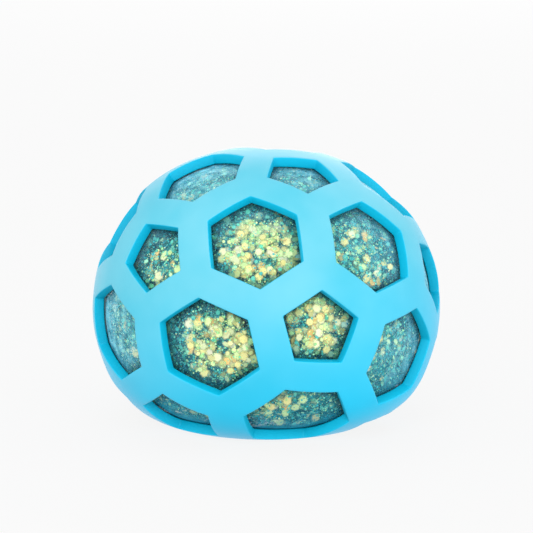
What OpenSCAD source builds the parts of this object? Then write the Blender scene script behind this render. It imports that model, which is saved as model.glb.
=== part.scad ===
// Glitter-gel stress ball in a moulded rubber net.
// A clear skin full of thick glitter gel sits loose inside a net whose windows follow a football's
// pattern of twelve pentagons and twenty hexagons.  The soft ball has sagged under its own weight
// into a dome on a flat foot, and the net has crept round it a little unevenly.
// The origin is the middle of the foot, on the surface that the ball stands on; +Z is up.

/* [Dome] */
// Width of the net at the belly
ball_width = 90; // [80:1:100]
// Height of the resting ball
ball_height = 71; // [68:0.5:74]
// Radius of the crown, on the net's outer face
crown_radius = 54; // [52:0.5:58]
// How far the crown's arc reaches down from the top, as the slope at its end
crown_slope = 20; // [15:1:25]
// Slope at which the belly's arc gives way to the tighter heel
heel_slope = 116; // [110:1:122]

/* [Net] */
// Thickness of the net's wall
net_wall = 2.6; // [1.8:0.1:3.2]
// Width of the bars between two windows
bar_width = 8.6; // [6:0.2:11]
// Turn of the window pattern about its own pentagon axis
pattern_spin = 48.8; // [0:0.1:72]
// Lean of that pentagon axis away from vertical
pattern_lean = 26.9; // [0:0.1:180]
// Direction in which the pentagon axis leans, seen from above
pattern_heading = -53.7; // [-180:0.1:180]
// Twist of the net about the upright axis, from the middle to the top
creep_upright = 0.062; // [0:0.002:0.1]
// Opposite twists of the net about its left-right and front-back axes
creep_level = 0.027; // [0:0.001:0.1]
// Twist that couples left-right with front-back
creep_diagonal = 0.037; // [0:0.001:0.1]
// Twist that couples front-back with up-down
creep_pitch = 0.038; // [0:0.002:0.1]

/* [Skin] */
// Thickness of the clear skin
skin_wall = 1.6; // [1:0.1:2.5]
// Running gap between the net and the skin
net_gap = 0.3; // [0.2:0.05:0.5]
// Radius of the hole that the gel is filled through
fill_hole_r = 3; // [2:0.25:4]
// Thickness of the flange of the plug, inside the skin
plug_flange = 0.8; // [0.5:0.1:1.2]
// Radius of the flange of the plug
plug_flange_r = 5; // [4.5:0.25:7]

/* [Filling] */
// Gap between the skin and the gel
gel_gap = 0.1; // [0.05:0.05:0.3]
// Size of the chunky hexagonal flakes, from corner to corner
chunky_size = 2.4; // [1.6:0.1:3]
// How many chunky flakes are drawn
chunky_count = 48; // [12:4:80]
// Size of the medium flakes, from corner to corner
medium_size = 1.4; // [0.8:0.1:1.6]
// How many medium flakes are drawn
medium_count = 60; // [12:4:100]
// Size of the fine flakes, from corner to corner
fine_size = 0.8; // [0.4:0.1:0.9]
// How many fine flakes are drawn
fine_count = 72; // [12:4:120]
// Thickness of every flake
flake_thickness = 0.2; // [0.1:0.05:0.3]

/* [Hidden] */
$fn = 96;

NET = [0.42, 0.84, 0.97];
CLEAR = [0.80, 0.90, 0.92, 0.35];
GEL = [0.05, 0.34, 0.36, 0.8];
GOLD = [0.93, 0.90, 0.62];
AQUA = [0.45, 0.82, 0.70];
TEAL = [0.10, 0.50, 0.50];

// --- The dome's outline: three arcs that meet smoothly, and a flat foot ---
belly_radius = (ball_width / 2 - crown_radius * sin(crown_slope)) / (1 - sin(crown_slope));
crown_c = [0, ball_height - crown_radius];
belly_c = crown_c + (crown_radius - belly_radius) * [sin(crown_slope), cos(crown_slope)];
heel_radius = (belly_c.y + belly_radius * cos(heel_slope)) / (1 + cos(heel_slope));
heel_c = belly_c + (belly_radius - heel_radius) * [sin(heel_slope), cos(heel_slope)];
foot_radius = heel_c.x;

crown_len = crown_radius * crown_slope * PI / 180;
belly_len = belly_radius * (heel_slope - crown_slope) * PI / 180;
heel_len = heel_radius * (180 - heel_slope) * PI / 180;
outline_len = crown_len + belly_len + heel_len + foot_radius;

// Point of the outline, as [radius, height, slope], a length s down it from the top.
function on_arc(c, r, slope) = [c.x + r * sin(slope), c.y + r * cos(slope), slope];
function outline(s) =
    s < crown_len ? on_arc(crown_c, crown_radius, s / crown_radius * 180 / PI)
    : s < crown_len + belly_len
        ? on_arc(belly_c, belly_radius, crown_slope + (s - crown_len) / belly_radius * 180 / PI)
    : s < crown_len + belly_len + heel_len
        ? on_arc(heel_c, heel_radius,
                 heel_slope + (s - crown_len - belly_len) / heel_radius * 180 / PI)
    : [outline_len - s, 0, 180];

// Half of the outline, moved inwards by inset.  Each circle touches the next from the inside, so
// the belly's disc is cut off below the heel's slope, and the heel's disc fills what is left.
module sector(c, r, from, to) {
    intersection() {
        translate(c) circle(r);
        polygon([c, c + 2 * r * [sin(from), cos(from)],
                 c + 3 * r * [sin((from + to) / 2), cos((from + to) / 2)],
                 c + 2 * r * [sin(to), cos(to)]]);
    }
}
module half_outline(inset) {
    sector(crown_c, crown_radius - inset, 0, crown_slope);
    intersection() {
        translate(belly_c) circle(belly_radius - inset);
        polygon([heel_c, heel_c + 3 * belly_radius * [sin(heel_slope), cos(heel_slope)],
                 [3 * belly_radius, 3 * belly_radius], [0, 3 * belly_radius], [0, heel_c.y]]);
    }
    intersection() {
        translate(heel_c) circle(heel_radius - inset);
        square(ball_width);
    }
    translate([0, inset]) square([foot_radius, heel_c.y + 1]);
}
module dome(inset) { rotate_extrude() half_outline(inset); }

// --- The window pattern: a ball's pattern of windows, laid on the dome ---
function unit(v) = v / norm(v);
function turn_z(v, a) = [v.x * cos(a) - v.y * sin(a), v.x * sin(a) + v.y * cos(a), v.z];
function turn_y(v, a) = [v.x * cos(a) + v.z * sin(a), v.y, v.z * cos(a) - v.x * sin(a)];
function oriented(v) = turn_z(turn_y(turn_z(v, pattern_spin), pattern_lean), pattern_heading);

// How far round the ball the net has crept at direction u.
function crept(u) = unit(u + cross(u, [creep_level * u.x + creep_diagonal * u.y,
                                      creep_diagonal * u.x - creep_level * u.y + creep_pitch * u.z,
                                      creep_pitch * u.y + creep_upright * u.z]));

// The dome point for a direction u of the round ball, at the same share of the way down.
function dome_point(u) =
    let (p = outline(acos(max(-1, min(1, u.z))) / 180 * outline_len), a = atan2(u.y, u.x))
    [p[0] * cos(a), p[0] * sin(a), p[1]];
function dome_normal(u) =
    let (p = outline(acos(max(-1, min(1, u.z))) / 180 * outline_len), a = atan2(u.y, u.x))
    [sin(p[2]) * cos(a), sin(p[2]) * sin(a), cos(p[2])];

// The twelve tips of an icosahedron, which are the middles of the pentagons.
RING = atan(2);
function ring_tip(k, low) = let (a = 72 * k + (low ? 36 : 0))
    [sin(RING) * cos(a), sin(RING) * sin(a), (low ? -1 : 1) * cos(RING)];
TIPS = concat([[0, 0, 1]], [for (k = [0:4]) ring_tip(k, false)],
              [for (k = [0:4]) ring_tip(k, true)], [[0, 0, -1]]);

// The twenty faces of the icosahedron, as triples of tips, are the hexagons.
function near(a, b) = a * b > 0.4 && a * b < 0.5;
FACES = [for (i = [0:9], j = [i + 1:10], k = [j + 1:11])
    if (near(TIPS[i], TIPS[j]) && near(TIPS[j], TIPS[k]) && near(TIPS[i], TIPS[k]))
        [TIPS[i], TIPS[j], TIPS[k]]];

// On a ball of radius 1 a football's seams are this long; its corners lie a third along the edges.
SEAM = 1 / 2.47802;
bar_half = bar_width / 2 / (ball_width / 2) * 180 / PI;
hexagon_reach = asin(SEAM) - bar_half / cos(30);
pentagon_reach = asin(SEAM / (2 * sin(36))) - bar_half / cos(36);

// A window corner lies at angle reach from the middle m, towards the seam corner t.
function window_corner(m, t, reach) = cos(reach) * m + sin(reach) * unit(t - m * (t * m));
function seam_corner(a, b) = unit(2 * a + b);
function around(m, points) =
    let (e = unit(cross(m, abs(m.z) < 0.9 ? [0, 0, 1] : [1, 0, 0])), f = cross(m, e),
         n = len(points),
         angles = [for (p = points) atan2(p * f, p * e)],
         order = [for (i = [0:n - 1]) len([for (a = angles) if (a < angles[i]) 1])])
    [for (k = [0:n - 1]) points[[for (i = [0:n - 1]) if (order[i] == k) i][0]]];

PENTAGONS = [for (tip = TIPS)
    [tip, around(tip, [for (o = TIPS) if (near(tip, o))
        window_corner(tip, seam_corner(tip, o), pentagon_reach)])]];
HEXAGONS = [for (f = FACES) let (m = unit(f[0] + f[1] + f[2]))
    [m, around(m, [for (i = [0:2], j = [0:2]) if (i != j)
        window_corner(m, seam_corner(f[i], f[j]), hexagon_reach)])]];
WINDOWS = concat(PENTAGONS, HEXAGONS);

// A window is cut by a pyramid whose tip lies deep inside the ball, so its walls stand square.
window_depth = 0.9 * ball_width / 2;
module window(w) {
    middle = crept(oriented(w[0]));
    corners = [for (c = w[1]) dome_point(crept(oriented(c)))];
    n = len(corners);
    tip = dome_point(middle) - window_depth * dome_normal(middle);
    rim = [for (c = corners) tip + 1.35 * (c - tip)];
    polyhedron(concat([tip], rim, [tip + 1.5 * (dome_point(middle) - tip)]),
               concat([for (i = [0:n - 1]) [0, 1 + i, 1 + (i + 1) % n]],
                      [for (i = [0:n - 1]) [n + 1, 1 + (i + 1) % n, 1 + i]]));
}

// --- Pieces ---
skin_inset = net_wall + net_gap;
cavity_inset = skin_inset + skin_wall;
gel_inset = cavity_inset + gel_gap;

module net() {
    color(NET) difference() {
        dome(0);
        dome(net_wall);
        for (w = WINDOWS) window(w);
    }
}

module skin() {
    color(CLEAR) difference() {
        dome(skin_inset);
        dome(cavity_inset);
        cylinder(h = cavity_inset + skin_wall, r = fill_hole_r);
    }
}

// The plug fills the hole, with a flange inside the skin that keeps the gel from pushing it out.
module fill_plug() {
    color(CLEAR) {
        translate([0, 0, skin_inset]) cylinder(h = skin_wall + gel_gap / 2, r = fill_hole_r);
        translate([0, 0, cavity_inset]) cylinder(h = plug_flange, r = plug_flange_r);
    }
}

module gel() {
    color(GEL) difference() {
        dome(gel_inset);
        cylinder(h = cavity_inset + plug_flange + gel_gap, r = plug_flange_r + gel_gap);
    }
}

// Flakes hang in the gel close under the skin, each tilted its own way.  They are spread evenly
// over the dome by the golden angle, down to the end of the heel, and never touch each other.
GOLDEN = 180 * (3 - sqrt(5));
flake_floor = 0.8;
module flakes(count, size, depth, seed) {
    tilt = rands(-25, 25, 2 * count, seed);
    for (i = [0:count - 1]) {
        z = 1 - 2 * (i + 0.5) / count * flake_floor;
        u = [sqrt(1 - z * z) * cos(i * GOLDEN + seed), sqrt(1 - z * z) * sin(i * GOLDEN + seed), z];
        n = dome_normal(u);
        translate(dome_point(u) - (gel_inset + depth) * n)
            rotate([0, acos(n.z), atan2(n.y, n.x)])
                rotate([tilt[2 * i], tilt[2 * i + 1], 0])
                    cylinder(h = flake_thickness, d = size, center = true, $fn = 6);
    }
}
module chunky_flakes() { color(GOLD) flakes(chunky_count, chunky_size, 1.2, 1); }
module medium_flakes() { color(AQUA) flakes(medium_count, medium_size, 3.0, 2); }
module fine_flakes() { color(TEAL) flakes(fine_count, fine_size, 4.4, 3); }

net();
skin();
fill_plug();
gel();
chunky_flakes();
medium_flakes();
fine_flakes();
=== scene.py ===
"""Glitter-gel stress ball in a moulded rubber net.

The net, the clear skin, the gel and its flakes are all built by formula on one dome outline: three
arcs that meet smoothly and a flat foot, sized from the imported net's own box.  Lengths are metres.
"""
import math

import bmesh
import bpy
import numpy as np
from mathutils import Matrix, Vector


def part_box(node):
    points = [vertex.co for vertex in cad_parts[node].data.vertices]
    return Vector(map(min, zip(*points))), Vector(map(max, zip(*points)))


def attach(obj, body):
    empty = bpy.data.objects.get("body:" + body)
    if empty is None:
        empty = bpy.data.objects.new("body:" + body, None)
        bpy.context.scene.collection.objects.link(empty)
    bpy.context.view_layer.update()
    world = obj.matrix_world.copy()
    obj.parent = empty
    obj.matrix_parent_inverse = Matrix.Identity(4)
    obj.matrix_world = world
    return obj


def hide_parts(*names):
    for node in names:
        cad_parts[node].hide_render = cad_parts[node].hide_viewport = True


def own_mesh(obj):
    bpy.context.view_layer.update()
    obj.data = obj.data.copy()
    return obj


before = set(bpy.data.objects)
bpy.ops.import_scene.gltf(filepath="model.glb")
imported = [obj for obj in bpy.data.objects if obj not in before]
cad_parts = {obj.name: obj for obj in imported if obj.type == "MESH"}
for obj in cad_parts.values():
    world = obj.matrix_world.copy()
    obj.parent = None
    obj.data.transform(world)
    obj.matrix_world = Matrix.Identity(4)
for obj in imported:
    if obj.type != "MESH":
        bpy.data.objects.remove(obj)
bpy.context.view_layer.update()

# --- Sizes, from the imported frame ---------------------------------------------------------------
net_low, net_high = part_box("net")
skin_low, skin_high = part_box("skin")
BALL_R = (net_high[0] - net_low[0]) / 2
BALL_H = net_high[2]
MM = 0.001
CROWN_R = 1.2 * BALL_R
CROWN_SLOPE = math.radians(20)
HEEL_SLOPE = math.radians(116)
NET_WALL = 2.6 * MM
SKIN_INSET = BALL_R - (skin_high[0] - skin_low[0]) / 2
SKIN_WALL = 1.6 * MM
BAR = 8.6 * MM / BALL_R  # a bar's width as an angle at the ball's middle
TIP_DEPTH = 0.9 * BALL_R  # each window's walls point at a tip this far below its middle

# The ball all but touches the net's inner face and stands up a trace into the windows.
WINDOW_BULGE, BULGE_REACH = 0.06 * MM, 6 * MM
UNDER_BARS = NET_WALL + 0.15 * MM
FLAKE_INSET = UNDER_BARS + 0.55 * MM
GEL_INSET = FLAKE_INSET + 3.6 * MM

# How the window pattern sits on the ball, and how the net has crept round it.
SPIN, LEAN, HEADING = (math.radians(a) for a in (48.8, 26.9, -53.7))
CREEP = np.array([[0.027, 0.037, 0.0], [0.037, -0.027, 0.038], [0.0, 0.038, 0.062]])

# --- The dome outline ---------------------------------------------------------------------------
BELLY_R = (BALL_R - CROWN_R * math.sin(CROWN_SLOPE)) / (1 - math.sin(CROWN_SLOPE))
CROWN_C = np.array([0.0, BALL_H - CROWN_R])
BELLY_C = CROWN_C + (CROWN_R - BELLY_R) * np.array([math.sin(CROWN_SLOPE), math.cos(CROWN_SLOPE)])
HEEL_R = (BELLY_C[1] + BELLY_R * math.cos(HEEL_SLOPE)) / (1 + math.cos(HEEL_SLOPE))
HEEL_C = BELLY_C + (BELLY_R - HEEL_R) * np.array([math.sin(HEEL_SLOPE), math.cos(HEEL_SLOPE)])
FOOT_R = HEEL_C[0]
ARCS = (
    (CROWN_C, CROWN_R, 0.0, CROWN_SLOPE),
    (BELLY_C, BELLY_R, CROWN_SLOPE, HEEL_SLOPE),
    (HEEL_C, HEEL_R, HEEL_SLOPE, math.pi),
)
OUTLINE_LEN = sum(r * (b - a) for _, r, a, b in ARCS) + FOOT_R


def outline(s):
    """Radius, height and slope of the outline at lengths s down from the top."""
    s = np.asarray(s, float)
    radius, height, slope = OUTLINE_LEN - s, np.zeros_like(s), np.full_like(s, math.pi)
    start = 0.0
    for c, r, a, b in ARCS:
        here = (s >= start) & (s < start + r * (b - a))
        f = a + (s - start) / r
        radius = np.where(here, c[0] + r * np.sin(f), radius)
        height = np.where(here, c[1] + r * np.cos(f), height)
        slope = np.where(here, f, slope)
        start += r * (b - a)
    return radius, height, slope


def nearest(points):
    """For points near the dome: height above its outer face, and the outward normal there."""
    r, z = np.hypot(points[:, 0], points[:, 1]), points[:, 2]
    nr, nz, d = np.zeros_like(r), np.full_like(r, -1.0), -z
    for c, radius, a, b in ARCS:
        f = np.arctan2(r - c[0], z - c[1])
        here = (f >= a - 1e-9) & (f < b) & ((r > c[0]) | (z > c[1]))
        q = np.hypot(r - c[0], z - c[1])
        d = np.where(here, q - radius, d)
        nr = np.where(here, (r - c[0]) / np.maximum(q, 1e-9), nr)
        nz = np.where(here, (z - c[1]) / np.maximum(q, 1e-9), nz)
    safe = np.maximum(r, 1e-9)
    normal = np.stack([nr * points[:, 0] / safe, nr * points[:, 1] / safe, nz], 1)
    return d, normal


def laid(points, inset):
    """The points moved square onto the dome's face, inset below the outer one."""
    d, normal = nearest(points)
    return points - (d + inset)[:, None] * normal


def dome(directions):
    """Dome points and normals for directions of the round ball, at the same share of the way down."""
    theta = np.arccos(np.clip(directions[:, 2], -1, 1))
    around = np.arctan2(directions[:, 1], directions[:, 0])
    r, z, f = outline(theta / math.pi * OUTLINE_LEN)
    ca, sa = np.cos(around), np.sin(around)
    return np.stack([r * ca, r * sa, z], 1), np.stack([np.sin(f) * ca, np.sin(f) * sa, np.cos(f)], 1)


# --- The window pattern -------------------------------------------------------------------------
def unit(v):
    v = np.asarray(v, float)
    return v / np.linalg.norm(v, axis=-1, keepdims=True)


def turn(axis, angle):
    c, s = math.cos(angle), math.sin(angle)
    return np.array([[c, -s, 0], [s, c, 0], [0, 0, 1.0]] if axis == "z" else
                    [[c, 0, s], [0, 1.0, 0], [-s, 0, c]])


ORIENT = turn("z", HEADING) @ turn("y", LEAN) @ turn("z", SPIN)


def crept(v):
    """Directions turned to the pattern's resting place, with the net's uneven creep."""
    u = v @ ORIENT.T
    return unit(u + np.cross(u, u @ CREEP.T))


def icosahedron_tips():
    ring = math.atan(2)
    tips = [(0, 0, 1)]
    for low in (0, 1):
        for k in range(5):
            a = math.radians(72 * k + 36 * low)
            z = math.cos(ring) * (-1 if low else 1)
            tips.append((math.sin(ring) * math.cos(a), math.sin(ring) * math.sin(a), z))
    return np.array(tips + [(0, 0, -1)], float)


TIPS = icosahedron_tips()
# Neighbouring tips stand 63.4 degrees apart, which has a cosine of 0.447.
NEAR = {(i, j) for i in range(12) for j in range(12) if 0.4 < TIPS[i] @ TIPS[j] < 0.5}
FACES = [(i, j, k) for i in range(12) for j in range(i + 1, 12) for k in range(j + 1, 12)
         if {(i, j), (j, k), (i, k)} <= NEAR]
SEAM = 1 / 2.47802  # edge over circumradius of the truncated icosahedron
HEX_REACH = math.asin(SEAM) - BAR / 2 / math.cos(math.pi / 6)
PENT_REACH = math.asin(SEAM / (2 * math.sin(math.pi / 5))) - BAR / 2 / math.cos(math.pi / 5)


def seam_corner(i, j):
    return unit(2 * TIPS[i] + TIPS[j])


def window_corner(middle, towards, reach):
    flat = unit(towards - middle * (towards @ middle))
    return math.cos(reach) * middle + math.sin(reach) * flat


ANY_WAY = (0.3, 0.5, 0.8)  # lies along no window's normal
SLIDES = 12  # rounds of sliding that bring a point onto the dome's face
LEAST_SLOPE = 0.2  # keeps a slide short where the line skims the face


class Window:
    """One window: its corners on the dome by seam corner, and the pyramid tip its walls point at."""

    def __init__(self, middle, seams, reach):
        point, normal = dome(crept(middle[None]))
        self.middle, self.normal = point[0], normal[0]
        self.tip = self.middle - TIP_DEPTH * self.normal
        corners = np.array([window_corner(middle, seam_corner(*s), reach) for s in seams])
        self.corner = dict(zip(seams, dome(crept(corners))[0]))
        mid = sum(self.corner.values()) / len(seams)
        across = unit(np.cross(self.normal, ANY_WAY))
        along = np.cross(self.normal, across)
        self.order = sorted(seams, key=lambda s: math.atan2((self.corner[s] - mid) @ along,
                                                            (self.corner[s] - mid) @ across))

    def on_wall(self, points, inset):
        """Points slid along lines through the tip until they lie inset below the dome's face."""
        ray = unit(points - self.tip)
        for _ in range(SLIDES):
            d, normal = nearest(points)
            slope = np.maximum((normal * ray).sum(1), LEAST_SLOPE)
            points = points - ((d + inset) / slope)[:, None] * ray
        return points


PENTAGONS = {i: Window(TIPS[i], [(i, j) for j in range(12) if (i, j) in NEAR], PENT_REACH)
             for i in range(12)}
HEXAGONS = {f: Window(unit(TIPS[list(f)].sum(0)), [(a, b) for a in f for b in f if a != b],
                      HEX_REACH) for f in FACES}
WINDOWS = list(PENTAGONS.values()) + list(HEXAGONS.values())


# --- Mesh helpers -------------------------------------------------------------------------------
def mesh_object(name, points, faces, smooth=True):
    mesh = bpy.data.meshes.new(name)
    mesh.from_pydata([tuple(p) for p in points], [], faces)
    mesh.validate()
    mesh.polygons.foreach_set("use_smooth", [smooth] * len(mesh.polygons))
    ob = bpy.data.objects.new(name, mesh)
    bpy.context.scene.collection.objects.link(ob)
    return ob


def mesh_points(ob):
    co = np.empty(len(ob.data.vertices) * 3, np.float32)
    ob.data.vertices.foreach_get("co", co)
    return co.reshape(-1, 3).astype(float)


def set_points(ob, points):
    ob.data.vertices.foreach_set("co", points.astype(np.float32).ravel())
    ob.data.update()


def ripple(points, seed, waves, low, high):
    """Smooth random unevenness of about -1 to 1, from a few seeded waves of low to high length."""
    rng = np.random.default_rng(seed)
    total = np.zeros(len(points))
    for _ in range(waves):
        k = unit(rng.normal(size=3)) * 2 * math.pi / rng.uniform(low, high)
        total += np.sin(points @ k + rng.uniform(0, 2 * math.pi))
    return total / math.sqrt(waves)


SAME_PLACE = 0.003 * MM


class Patches:
    """Quads gathered from square patches of points, merged where patches meet."""

    def __init__(self):
        self.points, self.faces, self.outer = [], [], []
        self.count = 0

    def grid(self, sheet, outward, outer=0.0):
        """Adds a sheet of points, rows by columns, facing outward; outer is 1 on the net's outside."""
        rows, cols = sheet.shape[:2]
        facing = np.cross(sheet[0, 1] - sheet[0, 0], sheet[1, 0] - sheet[0, 0]) @ outward
        base = self.count
        self.points.append(sheet.reshape(-1, 3))
        self.count += rows * cols
        self.outer += [outer] * ((rows - 1) * (cols - 1) * 4)
        for i in range(rows - 1):
            for j in range(cols - 1):
                a = base + i * cols + j
                quad = (a, a + 1, a + cols + 1, a + cols)
                self.faces.append(quad if facing > 0 else quad[::-1])

    def made(self, name):
        ob = mesh_object(name, np.concatenate(self.points), self.faces)
        outer = ob.data.attributes.new("outer", "FLOAT", "CORNER")
        outer.data.foreach_set("value", self.outer)
        bm = bmesh.new()
        bm.from_mesh(ob.data)
        bmesh.ops.remove_doubles(bm, verts=bm.verts, dist=SAME_PLACE)
        bm.to_mesh(ob.data)
        bm.free()
        return ob


def lerp(a, b, n):
    t = np.linspace(0, 1, n + 1)[:, None]
    return a * (1 - t) + b * t


# --- The net ------------------------------------------------------------------------------------
ALONG, ACROSS = 14, 8  # quads along and across each bar


def bar_sheet(rim_a, rim_b, inset):
    """A bar's face between the rims of the two windows beside it."""
    t = np.linspace(0, 1, ACROSS + 1)[None, :, None]
    sheet = rim_a[:, None] * (1 - t) + rim_b[:, None] * t
    rows = len(rim_a)
    sheet[:, 1:-1] = laid(sheet[:, 1:-1].reshape(-1, 3), inset).reshape(rows, ACROSS - 1, 3)
    return sheet


def fork_sheets(corners, inset):
    """The three square sheets that fill the triangle between three window corners."""
    half = ACROSS // 2
    middle = laid(np.mean(corners, 0)[None], inset)[0]
    for k in range(3):
        corner = corners[k]
        side_u = lerp(corner, corners[(k + 1) % 3], ACROSS)[:half + 1]
        side_v = lerp(corner, corners[(k + 2) % 3], ACROSS)[:half + 1]
        side_u[1:] = laid(side_u[1:], inset)
        side_v[1:] = laid(side_v[1:], inset)
        mid_u, mid_v = side_u[-1], side_v[-1]
        u = np.linspace(0, 1, half + 1)[:, None, None]
        v = np.linspace(0, 1, half + 1)[None, :, None]
        sheet = ((1 - v) * side_u[:, None] + v * ((1 - u) * mid_v + u * middle)
                 + (1 - u) * side_v[None] + u * ((1 - v) * mid_u + v * middle)
                 - (1 - u) * (1 - v) * corner - u * (1 - v) * mid_u
                 - (1 - u) * v * mid_v - u * v * middle)
        sheet[1:, 1:] = laid(sheet[1:, 1:].reshape(-1, 3), inset).reshape(half, half, 3)
        sheet[-1, 1:] = laid(lerp(mid_u, middle, half)[1:], inset)
        sheet[1:, -1] = laid(lerp(mid_v, middle, half)[1:], inset)
        yield sheet


def all_bars():
    """Every bar: the two windows it lies between, and the two seam corners at its ends."""
    for face, window in HEXAGONS.items():
        for a in face:
            s, t = [(a, b) for b in face if b != a]
            yield PENTAGONS[a], window, s, t
    for a, b in sorted(NEAR):
        if a < b:
            first, second = hexagons_beside(a, b)
            yield first, second, (a, b), (b, a)


def hexagons_beside(a, b):
    """The two hexagons that share the seam between two pentagons."""
    return [HEXAGONS[f] for f in FACES if a in f and b in f]


def add_face(patches, inset, side):
    """The net's outer face (side 1) or inner face (side -1): its bars, and its forks."""
    outer = float(side == 1)
    for wa, wb, s, t in all_bars():
        rims = [w.on_wall(lerp(w.corner[s], w.corner[t], ALONG), inset) for w in (wa, wb)]
        patches.grid(bar_sheet(*rims, inset), side * nearest(rims[0][:1])[1][0], outer)
    for a, b in sorted(NEAR):
        trio = [PENTAGONS[a], *hexagons_beside(a, b)]
        corners = [w.on_wall(w.corner[(a, b)][None], inset)[0] for w in trio]
        for sheet in fork_sheets(corners, inset):
            patches.grid(sheet, side * nearest(corners[0][None])[1][0], outer)


def add_walls(patches):
    """The walls of all windows, from the outer face to the inner one."""
    for w in WINDOWS:
        for s, t in zip(w.order, w.order[1:] + w.order[:1]):
            edge = lerp(w.corner[s], w.corner[t], ALONG)
            top, bottom = w.on_wall(edge, 0.0), w.on_wall(edge, NET_WALL)
            wall = np.stack([top, (top + bottom) / 2, bottom], 1)
            patches.grid(wall, w.middle - edge[ALONG // 2])


# How far the moulding swells: what it would do, and what the ball below leaves room for.
SWELL, MOST_IN, MOST_OUT = 0.10 * MM, 0.03 * MM, 0.12 * MM
FOOT_RISE = 6 * MM  # the swelling fades out over this height above the floor


def build_net():
    """Both faces and the window walls, with uneven moulding and soft rims."""
    patches = Patches()
    add_face(patches, 0.0, 1)
    add_face(patches, NET_WALL, -1)
    add_walls(patches)
    ob = patches.made("rubber_net")
    outer = ob.data.attributes["outer"].data
    walls = [int(outer[p.loop_start].value < 0.5) for p in ob.data.polygons]
    ob.data.polygons.foreach_set("material_index", walls)
    points = mesh_points(ob)
    swell = SWELL * ripple(points, seed=5, waves=10, low=14 * MM, high=30 * MM)
    lift = np.clip(swell, -MOST_IN, MOST_OUT)
    off_floor = np.clip(points[:, 2] / FOOT_RISE, 0, 1)
    set_points(ob, points + (lift * off_floor)[:, None] * nearest(points)[1])
    bevel = ob.modifiers.new("soft rims", "BEVEL")
    bevel.width = 0.32 * MM
    bevel.segments = 3
    bevel.limit_method = "ANGLE"
    bevel.angle_limit = math.radians(38)
    return ob


# --- The ball: clear skin, gel and flakes -------------------------------------------------------
WINDOW_REACH = 0.5 * BALL_R  # no point of a window is further than this from its middle


def in_windows(points):
    """How far each point stands inside a window's walls, in metres; less than 0 under the bars."""
    best = np.full(len(points), -BAR * BALL_R / 2)
    for w in WINDOWS:
        near_by = np.linalg.norm(points - w.middle, axis=1) < WINDOW_REACH
        p = points[near_by]
        room = np.full(len(p), np.inf)
        for s, t in zip(w.order, w.order[1:] + w.order[:1]):
            wall = unit(np.cross(w.corner[s] - w.tip, w.corner[t] - w.tip))
            wall *= np.sign(wall @ (w.middle - w.tip))
            room = np.minimum(room, (p - w.tip) @ wall)
        best[near_by] = np.maximum(best[near_by], room)
    return best


def ball_directions(steps):
    """Directions in six square patches, as on a cube blown up to a ball, steps quads to an edge."""
    a = np.tan(np.linspace(-1, 1, steps + 1) * math.pi / 4)
    u, v = (g.ravel() for g in np.meshgrid(a, a, indexing="ij"))
    one = np.ones_like(u)
    return [unit(np.stack(f, 1)).reshape(steps + 1, steps + 1, 3) for f in (
        (one, u, v), (-one, u, v), (u, one, v), (u, -one, v), (u, v, one), (u, v, -one))]


def bulge(points):
    """How far the ball stands up into the windows at these points of its face."""
    short = 1 - np.clip(in_windows(points) / BULGE_REACH, 0, 1)
    return WINDOW_BULGE * (1 - short ** 2)


# The shade along the window walls: how light its middle is, how far that lies under the bars, and
# how far it reaches to either side.
DARKEST, SHADE_UNDER, SHADE_REACH = 0.06, 0.5 * MM, 3.0 * MM


def daylight(points):
    """How much light gets down to the ball here: little along the window walls."""
    clear = np.abs(in_windows(points) + SHADE_UNDER) / SHADE_REACH
    return DARKEST + (1 - DARKEST) * np.clip(clear, 0, 1) ** 1.1


def ball_surface(name, inset, steps):
    """The ball's face, inset below the dome's, as six square patches of steps by steps quads."""
    patches = Patches()
    for sheet in ball_directions(steps):
        points, normal = dome(sheet.reshape(-1, 3))
        points = points - (inset - bulge(points))[:, None] * normal
        mid = sheet[steps // 2, steps // 2]
        patches.grid(points.reshape(steps + 1, steps + 1, 3), mid)
    ob = patches.made(name)
    # Painted shade: the daylight share is stored on the mesh, and the skin and gel colours darken with
    # it along the window walls.
    light = ob.data.attributes.new("daylight", "FLOAT", "POINT")
    light.data.foreach_set("value", daylight(mesh_points(ob)))
    return ob


# Where the big flakes have drifted together: middle (x, y, z) and reach in mm, and the most left.
CLOUDS = (
    (-1, -37, 51, 12, 1.0), (-11, -43, 26, 11, 1.0), (15, -41, 34, 10, 1.0), (2, -38, 9, 7, 0.4),
    (-28, -30, 45, 7, 0.5), (28, -26, 49, 10, 0.34), (32, 22, 42, 13, 1.0), (-30, 28, 36, 12, 1.0),
    (4, 43, 22, 14, 1.0), (42, -8, 14, 9, 0.6), (-42, 4, 20, 9, 0.6), (2, 12, 68, 8, 0.5),
)
ELSEWHERE = 0.10  # share left outside the clouds
SIGHT = 5 * MM  # how deep in the gel a flake keeps about a third of its own colour
DEEP_TINT = (0.04, 0.42, 0.26)
SHADOW_TINT = (0.0, 0.045, 0.075)
SHADOW_BITE = (1.7, 0.8, 0.7)  # shade takes the red first


def gold_share(points):
    """Share of the big flakes left at each point: most inside the clouds, and clumped."""
    best = np.full(len(points), ELSEWHERE)
    for x, y, z, reach, most in CLOUDS:
        gap = np.linalg.norm(points - np.array([x, y, z]) * MM, axis=1) / (reach * MM)
        best = np.maximum(best, most * np.exp(-gap ** 4))
    clump = 0.75 + 0.70 * ripple(points, seed=21, waves=14, low=7 * MM, high=13 * MM)
    return best * np.clip(clump, 0.12, 1)


def scattered(count, clustered, rng):
    """Even random directions, thinned outside the clouds where clustered."""
    u = unit(rng.normal(size=(count, 3)))
    share = gold_share(dome(u)[0]) if clustered else np.ones(count)
    return u[rng.random(count) < share]


def picked(palette, n, rng):
    """n colours drawn from a palette whose first colours are the commonest."""
    odds = 1.0 / (1 + np.arange(len(palette)))
    return np.array(palette)[rng.choice(len(palette), n, p=odds / odds.sum())]


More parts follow.
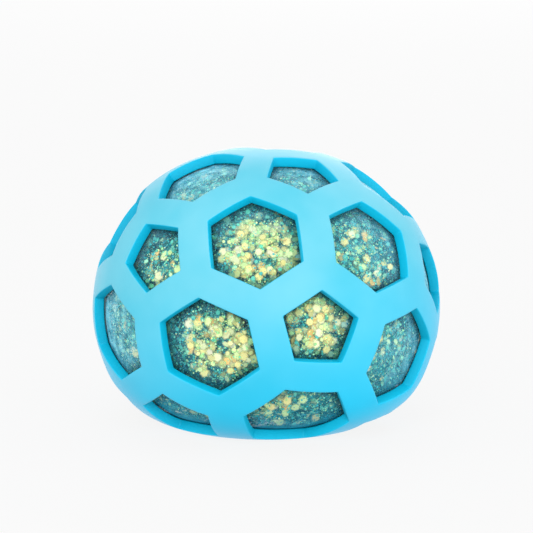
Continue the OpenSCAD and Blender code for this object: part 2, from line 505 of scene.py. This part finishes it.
def flake_colours(points, deep, warm, cool, shade, rng):
    """Each flake's own colour, greener with depth, and darkened to navy along the window walls as
    painted shade.
    """
    n = len(points)
    golden = (rng.random(n) < gold_share(points))[:, None]
    colours = np.where(golden, picked(warm, n, rng), picked(cool, n, rng))
    colours = colours * rng.uniform(0.86, 1.14, (n, 1))
    sunk = np.exp(-deep / SIGHT)[:, None]
    colours = colours * sunk + np.array(DEEP_TINT) * (1 - sunk)
    # Painted shade: flakes near the window walls are darkened towards navy, the red first.
    lit = daylight(points)[:, None] ** (shade * np.array(SHADOW_BITE))
    colours = colours * lit + np.array(SHADOW_TINT) * (1 - lit)
    return np.clip(colours, 0, 1)


def flake_arms(normal, sides, tilt, rng):
    """Unit arms from each flake's middle to its corners, the flake tilted off the ball's face."""
    face = unit(normal + rng.normal(size=normal.shape) * tilt)
    e = unit(np.cross(face, rng.normal(size=normal.shape)))
    f = np.cross(face, e)
    turns = np.arange(sides) * 2 * math.pi / sides
    return np.cos(turns)[None, :, None] * e[:, None] + np.sin(turns)[None, :, None] * f[:, None]


def flake_faces(n, sides, rings):
    """A disc for each flake and, where there are two rings of corners, the rim between them."""
    base = np.arange(n)[:, None] * rings * sides
    faces = [tuple(r) for r in base + np.arange(sides)]
    for k in range(sides if rings == 2 else 0):
        j = (k + 1) % sides
        faces += [tuple(r) for r in base + np.array([k, k + sides, j + sides, j])]
    return faces


# Share of a soft flake's radius that its faded rim takes: at the skin, and added by DEEP down.
BLUR, DEEP_BLUR, DEEP = 0.26, 0.40, 4 * MM


def flake_mesh(name, count, seed, size, depth, warm, cool, clustered, sides=6, tilt=0.3, soft=True,
               shade=1.0):
    """Thin flakes hung in the gel, each with its own size, tilt and colour; soft ones fade out."""
    rng = np.random.default_rng(seed)
    points, normal = dome(scattered(count, clustered, rng))
    n = len(points)
    deep = depth[0] + (depth[1] - depth[0]) * rng.random(n) ** 1.3
    centre = points - (FLAKE_INSET - bulge(points) + deep)[:, None] * normal
    arms = flake_arms(normal, sides, tilt, rng)
    half = rng.uniform(*size, n) / 2
    blur = BLUR + DEEP_BLUR * np.clip(deep / DEEP, 0, 1)
    rings = [half * (1 - blur), half * (1 + 0.5 * blur)] if soft else [half]
    corners = [centre[:, None] + r[:, None, None] * arms for r in rings]
    faces = flake_faces(n, sides, len(rings))
    ob = mesh_object(name, np.concatenate(corners, 1).reshape(-1, 3), faces, smooth=False)
    rgba = np.ones((n, len(rings), sides, 4))
    rgba[..., :3] = flake_colours(points, deep, warm, cool, shade, rng)[:, None, None]
    rgba[:, 1:, :, 3] = 0
    tint = ob.data.color_attributes.new("tint", "FLOAT_COLOR", "POINT")
    tint.data.foreach_set("color", rgba.ravel())
    return ob


PLUG_R, FLANGE_R, PLUG_FLANGE, PLUG_SIDES = 3 * MM, 5 * MM, 0.8 * MM, 48
PLUG_EDGE = 0.15 * MM


def plug_profile():
    """Radius and height down the plug: a stem that fills the hole, and a flange inside the skin."""
    foot, step = SKIN_INSET, SKIN_INSET + SKIN_WALL
    top = step + PLUG_FLANGE
    return [
        (0.5 * PLUG_R, foot), (PLUG_R - PLUG_EDGE, foot), (PLUG_R, foot + PLUG_EDGE),
        (PLUG_R, step), (FLANGE_R - PLUG_EDGE, step), (FLANGE_R, step + PLUG_EDGE),
        (FLANGE_R, top - PLUG_EDGE), (FLANGE_R - PLUG_EDGE, top), (0.5 * FLANGE_R, top)]


def plug_mesh():
    """The fill plug, turned about the upright axis."""
    profile = plug_profile()
    points = [(0.0, 0.0, profile[0][1]), (0.0, 0.0, profile[-1][1])]
    for r, z in profile:
        for k in range(PLUG_SIDES):
            a = 2 * math.pi * k / PLUG_SIDES
            points.append((r * math.cos(a), r * math.sin(a), z))
    last = 2 + (len(profile) - 1) * PLUG_SIDES
    faces = []
    for k in range(PLUG_SIDES):
        j = (k + 1) % PLUG_SIDES
        faces.append((0, 2 + j, 2 + k))
        for a in range(2, last, PLUG_SIDES):
            b = a + PLUG_SIDES
            faces.append((a + k, a + j, b + j, b + k))
        faces.append((1, last + k, last + j))
    return mesh_object("gel_plug", points, faces)


# --- Materials ----------------------------------------------------------------------------------
class Nodes:
    """A new material and short calls for the nodes it needs."""

    def __init__(self, name):
        self.material = bpy.data.materials.new(name)
        self.material.use_nodes = True
        self.tree = self.material.node_tree
        self.bsdf = self.tree.nodes["Principled BSDF"]

    def add(self, kind, values, **settings):
        """A new node with its settings, and its inputs put."""
        node = self.tree.nodes.new("ShaderNode" + kind)
        for name, value in settings.items():
            setattr(node, name, value)
        self.put(node, values)
        return node

    def put(self, node, values):
        """Sets inputs by name or number: a socket is linked, anything else is a constant."""
        for name, value in values.items():
            if isinstance(value, bpy.types.NodeSocket):
                self.tree.links.new(value, node.inputs[name])
            else:
                node.inputs[name].default_value = value

    def place(self):
        return self.add("TexCoord", {}).outputs["Object"]

    def attribute(self, name):
        return self.add("Attribute", {}, attribute_name=name).outputs["Fac"]

    def noise(self, where, scale, detail=2):
        values = {"Vector": where, "Scale": scale, "Detail": detail}
        return self.add("TexNoise", values).outputs["Fac"]

    def remap(self, value, low=0.0, high=1.0, to_low=0.0, to_high=1.0):
        values = {"Value": value, "From Min": low, "From Max": high,
                  "To Min": to_low, "To Max": to_high}
        return self.add("MapRange", values).outputs["Result"]

    def product(self, a, b):
        return self.add("Math", {0: a, 1: b}, operation="MULTIPLY").outputs[0]

    def vector(self, operation, a, b):
        return self.add("VectorMath", {0: a, 1: b}, operation=operation).outputs["Value"]

    def blend(self, factor, a, b):
        values = {"Factor": factor, "A": a, "B": b}
        return self.add("Mix", values, data_type="RGBA").outputs["Result"]

    def shader_blend(self, factor, a, b):
        return self.add("MixShader", {0: factor, 1: a, 2: b}).outputs[0]

    def ramp(self, source, stops, interpolation="LINEAR"):
        node = self.add("ValToRGB", {"Fac": source})
        while len(node.color_ramp.elements) < len(stops):
            node.color_ramp.elements.new(0.5)
        for element, (at, colour) in zip(node.color_ramp.elements, stops):
            element.position = at
            element.color = (*colour, 1)
        node.color_ramp.interpolation = interpolation
        return node.outputs["Color"]

    def speckle(self, where, scale, disc, stops, under):
        """Random-coloured discs, one to each cell of a Voronoi, over the colour under.

        disc is a disc's solid and faded-out radius, in cells."""
        cells = self.add("TexVoronoi", {"Vector": where, "Scale": scale})
        pick = self.add("SeparateColor", {0: cells.outputs["Color"]}).outputs[0]
        paint = self.ramp(pick, stops, "CONSTANT")
        shape = self.remap(cells.outputs["Distance"], disc[1], disc[0])
        return self.blend(shape, under, paint)


def net_material(name, sheen):
    """Soft moulded rubber: deep cyan, with a painted pale sheen on the outer face that fades out low
    down.
    """
    n = Nodes(name)
    where = n.place()
    cloud = n.noise(where, 38, 3)
    deep = n.ramp(cloud, [(0.3, (0.000, 0.395, 0.620)), (0.7, (0.001, 0.425, 0.660))])
    pale = n.ramp(cloud, [(0.3, (0.048, 0.378, 0.495)), (0.7, (0.128, 0.435, 0.540))])
    # Painted sheen: the outer face turns paler higher up and a little towards the left, where the
    # lamps catch it.
    height = n.vector("DOT_PRODUCT", where, (-0.2, 0.0, 1.0))
    painted_sheen = n.remap(height, 0.08 * BALL_H, 0.65 * BALL_H)
    outer = n.attribute("outer")
    face = n.blend(n.product(painted_sheen, outer), deep, pale)
    bump = n.add("Bump", {"Strength": 0.10, "Distance": 0.1 * MM, "Height": n.noise(where, 2600)})
    n.put(n.bsdf, {
        # The window walls take a plain cyan a little darker than the outer face: partly the rubber's
        # own colour, partly painted shade in the walls.
        "Base Color": n.blend(outer, (0.0, 0.37, 0.56, 1), face),
        "Normal": bump.outputs["Normal"],
        "Roughness": n.remap(cloud, to_low=0.46, to_high=0.60),
        "Specular IOR Level": 0.15,
        "Sheen Weight": sheen,
        "Sheen Roughness": 0.35,
        "Sheen Tint": (0.9, 0.85, 1.0, 1),
    })
    return n.material


def milk_colour(n, where, cloud):
    """The skin's milk: pale and grained, a darker blue low down as painted shade, and painted navy
    shade along the window walls.
    """
    milk = n.ramp(cloud, [(0.35, (0.09, 0.40, 0.56)), (0.65, (0.23, 0.66, 0.80))])
    grains = n.speckle(where, 1700, (0.25, 0.50), [
        (0, (0.01, 0.24, 0.38)), (0.4, (0.12, 0.52, 0.68)), (0.75, (0.52, 0.84, 0.86))], milk)
    # Painted shade: the milk goes a darker blue low down, away from the light from above.
    height = n.add("SeparateXYZ", {0: where}).outputs["Z"]
    high = n.remap(height, 0.12 * BALL_H, 0.36 * BALL_H)
    painted_low_shade = n.blend(high, (0.01, 0.27, 0.40, 1), grains)
    # Painted shade: navy along the window walls, where the net keeps the light off the ball.
    return n.blend(n.attribute("daylight"), (0.0, 0.05, 0.11, 1), painted_low_shade)


CLEAR_SPOT = (-28 * MM, -30 * MM, 45 * MM)


def milk_share(n, where, cloud):
    """How milky the skin is: more at a slant, patchy, and half as much at one clearer spot."""
    slant = n.add("LayerWeight", {"Blend": 0.5}).outputs["Facing"]
    haze = n.ramp(slant, [(at, (share,) * 3) for at, share in (
        (0.0, 0.05), (0.3, 0.20), (0.6, 0.46), (1.0, 0.92))])
    away = n.vector("DISTANCE", where, CLEAR_SPOT)
    open_share = n.remap(away, 8 * MM, 15 * MM, 0.5, 1.0)
    return n.product(n.product(haze, open_share), n.remap(cloud, 0.3, 0.7, 0.7, 1.25))


def skin_material():
    """Clear soft rubber: see-through face on, milky at a slant, with a soft gloss."""
    n = Nodes("clear_skin")
    where = n.place()
    cloud = n.noise(where, 330, 4)
    n.put(n.bsdf, {"Base Color": milk_colour(n, where, cloud), "Roughness": 0.6,
                   "Specular IOR Level": 0.2})
    clear = n.add("BsdfTransparent", {"Color": (0.95, 0.99, 1.0, 1)}).outputs[0]
    milky = n.shader_blend(milk_share(n, where, cloud), clear, n.bsdf.outputs[0])
    gloss = n.add("BsdfGlossy", {"Roughness": 0.2}).outputs[0]
    mirror = n.remap(n.add("Fresnel", {"IOR": 1.42}).outputs[0], to_high=0.10)
    skin = n.shader_blend(mirror, milky, gloss)
    n.put(n.tree.nodes["Material Output"], {"Surface": skin})
    return n.material


def gel_material():
    """The gel a few millimetres down: dark teal, crowded with flakes too deep to see singly."""
    n = Nodes("glitter_gel")
    where = n.place()
    base = n.ramp(n.noise(where, 70), [(0.35, (0.001, 0.16, 0.23)), (0.65, (0.01, 0.32, 0.36))])
    # Painted shade: the gel goes almost black along the window walls, where the net keeps the light
    # off.
    colour = n.blend(n.attribute("daylight"), (0.0, 0.012, 0.035, 1), base)
    colour = n.speckle(where, 420, (0.30, 0.55), [
        (0, (0.02, 0.20, 0.20)), (0.35, (0.06, 0.30, 0.22)), (0.6, (0.005, 0.06, 0.08)),
        (0.85, (0.22, 0.40, 0.20))], colour)
    colour = n.speckle(where, 900, (0.25, 0.42), [
        (0, (0.03, 0.26, 0.24)), (0.3, (0.003, 0.05, 0.06)), (0.7, (0.10, 0.42, 0.30)),
        (0.9, (0.004, 0.07, 0.09))], colour)
    colour = n.speckle(where, 2300, (0.22, 0.36), [
        (0, (0.002, 0.04, 0.05)), (0.5, (0.05, 0.35, 0.30)), (0.8, (0.25, 0.62, 0.42)),
        (0.93, (0.60, 0.68, 0.30))], colour)
    n.put(n.bsdf, {"Base Color": colour, "Roughness": 0.5})
    return n.material


def flake_material(name):
    """Pearly foil in each flake's own colour, its rim lost in the gel, glinting unevenly."""
    n = Nodes(name)
    tint = n.add("Attribute", {}, attribute_name="tint")
    grain = n.noise(n.place(), 900)
    n.put(n.bsdf, {
        "Base Color": tint.outputs["Color"],
        "Alpha": tint.outputs["Alpha"],
        "Roughness": n.remap(grain, to_low=0.42, to_high=0.65),
        "Metallic": 0.1,
    })
    return n.material


def placed(ob, material, body, node):
    """Gives a piece its material and hangs it on its body, in place of the imported part it stands
    for.
    """
    ob.data.materials.append(material)
    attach(ob, body)
    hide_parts(node)
    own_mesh(ob)


GOLDS = [(0.99, 0.76, 0.24), (1.0, 0.88, 0.46), (0.84, 0.94, 0.36), (0.99, 0.55, 0.12),
         (0.99, 0.82, 0.56)]
LIMES = [(0.86, 0.94, 0.34), (0.50, 0.90, 0.30), (0.99, 0.84, 0.32), (0.14, 0.68, 0.42)]
AQUAS = [(0.12, 0.58, 0.42), (0.42, 0.84, 0.50), (0.05, 0.44, 0.40), (0.76, 0.93, 0.44)]
TEALS = [(0.02, 0.46, 0.48), (0.24, 0.80, 0.50), (0.01, 0.28, 0.40), (0.66, 0.95, 0.52)]
net = build_net()
placed(net, net_material("net_rubber", 0.24), "net", "net")
net.data.materials.append(net_material("net_rubber_wall", 0.0))
clear_skin = skin_material()
placed(ball_surface("gel_skin", UNDER_BARS, steps=72), clear_skin, "ball", "skin")
placed(plug_mesh(), clear_skin, "ball", "fill_plug")
gel = ball_surface("glitter_gel", GEL_INSET, steps=48)
placed(gel, gel_material(), "filling", "gel")
chunky = flake_mesh("chunky_glitter", count=22000, seed=11, size=(1.7 * MM, 2.6 * MM),
                    depth=(0.35 * MM, 3.4 * MM), warm=GOLDS, cool=GOLDS, clustered=True)
placed(chunky, flake_material("gold_flake"), "filling", "chunky_flakes")
medium = flake_mesh("medium_glitter", count=8000, seed=12, size=(0.8 * MM, 1.5 * MM),
                    depth=(0.15 * MM, 3.4 * MM), warm=LIMES, cool=AQUAS, clustered=False)
placed(medium, flake_material("aqua_flake"), "filling", "medium_flakes")
fine = flake_mesh("fine_glitter", count=70000, seed=13, size=(0.26 * MM, 0.66 * MM),
                  depth=(0.02 * MM, 2.6 * MM), warm=LIMES, cool=TEALS, clustered=False,
                  sides=4, tilt=0.6, soft=False, shade=0.45)
placed(fine, flake_material("teal_flake"), "filling", "fine_flakes")

# --- Stage, lights and camera -------------------------------------------------------------------
scene = bpy.context.scene
LAMP_AIM = (0, 0, 0.03)
CAMERA_TILT = math.radians(12)
CAMERA_DISTANCE = 16 * BALL_R
ORBIT_HEIGHT = 0.6 * BALL_R
AIM_HEIGHT = 0.889 * BALL_R
BALLS_ACROSS = 1.5396  # the picture is this many ball widths across
SENSOR = 36  # mm, as the lens is


def build_stage():
    """A pale floor that glows a little, so that it stays even under the lamps, and a white room."""
    floor = mesh_object("floor", [(-4, -4, 0), (4, -4, 0), (4, 6, 0), (-4, 6, 0)], [(0, 1, 2, 3)])
    n = Nodes("floor_white")
    n.put(n.bsdf, {
        "Base Color": (0.05, 0.05, 0.05, 1),
        "Roughness": 0.9,
        "Specular IOR Level": 0.0,
        "Emission Color": (1, 1, 1, 1),
        "Emission Strength": 0.875,
    })
    floor.data.materials.append(n.material)
    world = bpy.data.worlds.new("studio")
    scene.world = world
    world.use_nodes = True
    back = world.node_tree.nodes["Background"]
    back.inputs["Color"].default_value = (1, 1, 1, 1)
    back.inputs["Strength"].default_value = 1.0


def area_light(name, place, size, power):
    """A round lamp, size across, that looks at the ball."""
    lamp = bpy.data.lights.new(name, "AREA")
    lamp.shape = "DISK"
    lamp.size = size
    lamp.energy = power
    ob = bpy.data.objects.new(name, lamp)
    ob.location = place
    ob.rotation_euler = look(place, LAMP_AIM)
    scene.collection.objects.link(ob)


def look(place, aim):
    """Euler turn of a camera or lamp at place that looks at aim, kept level."""
    x, y, z = (b - a for a, b in zip(place, aim))
    return math.atan2(math.hypot(x, y), -z), 0.0, math.atan2(-x, y)


def build_camera():
    away, up = math.cos(CAMERA_TILT) * CAMERA_DISTANCE, math.sin(CAMERA_TILT) * CAMERA_DISTANCE
    place = (0, -away, ORBIT_HEIGHT + up)
    camera = bpy.data.objects.new("camera", bpy.data.cameras.new("camera"))
    camera.location = place
    camera.rotation_euler = look(place, (0, 0, AIM_HEIGHT))
    camera.data.sensor_width = SENSOR
    camera.data.lens = SENSOR * CAMERA_DISTANCE / (2 * BALL_R * BALLS_ACROSS)
    camera.data.clip_start = 0.01
    scene.collection.objects.link(camera)
    scene.camera = camera


build_stage()
build_camera()
area_light("key", (-0.36, -1.10, 0.60), size=0.8, power=8.4)
area_light("fill", (0.60, -1.05, 0.20), size=0.8, power=6.6)
area_light("overhead", (0.0, 0.35, 1.2), size=0.9, power=2.2)
area_light("back", (0.1, 1.2, 0.45), size=0.9, power=5)
area_light("left", (-1.15, -0.1, 0.35), size=0.7, power=3)
area_light("right", (1.15, -0.1, 0.30), size=0.7, power=4)
scene.view_settings.view_transform = "Standard"
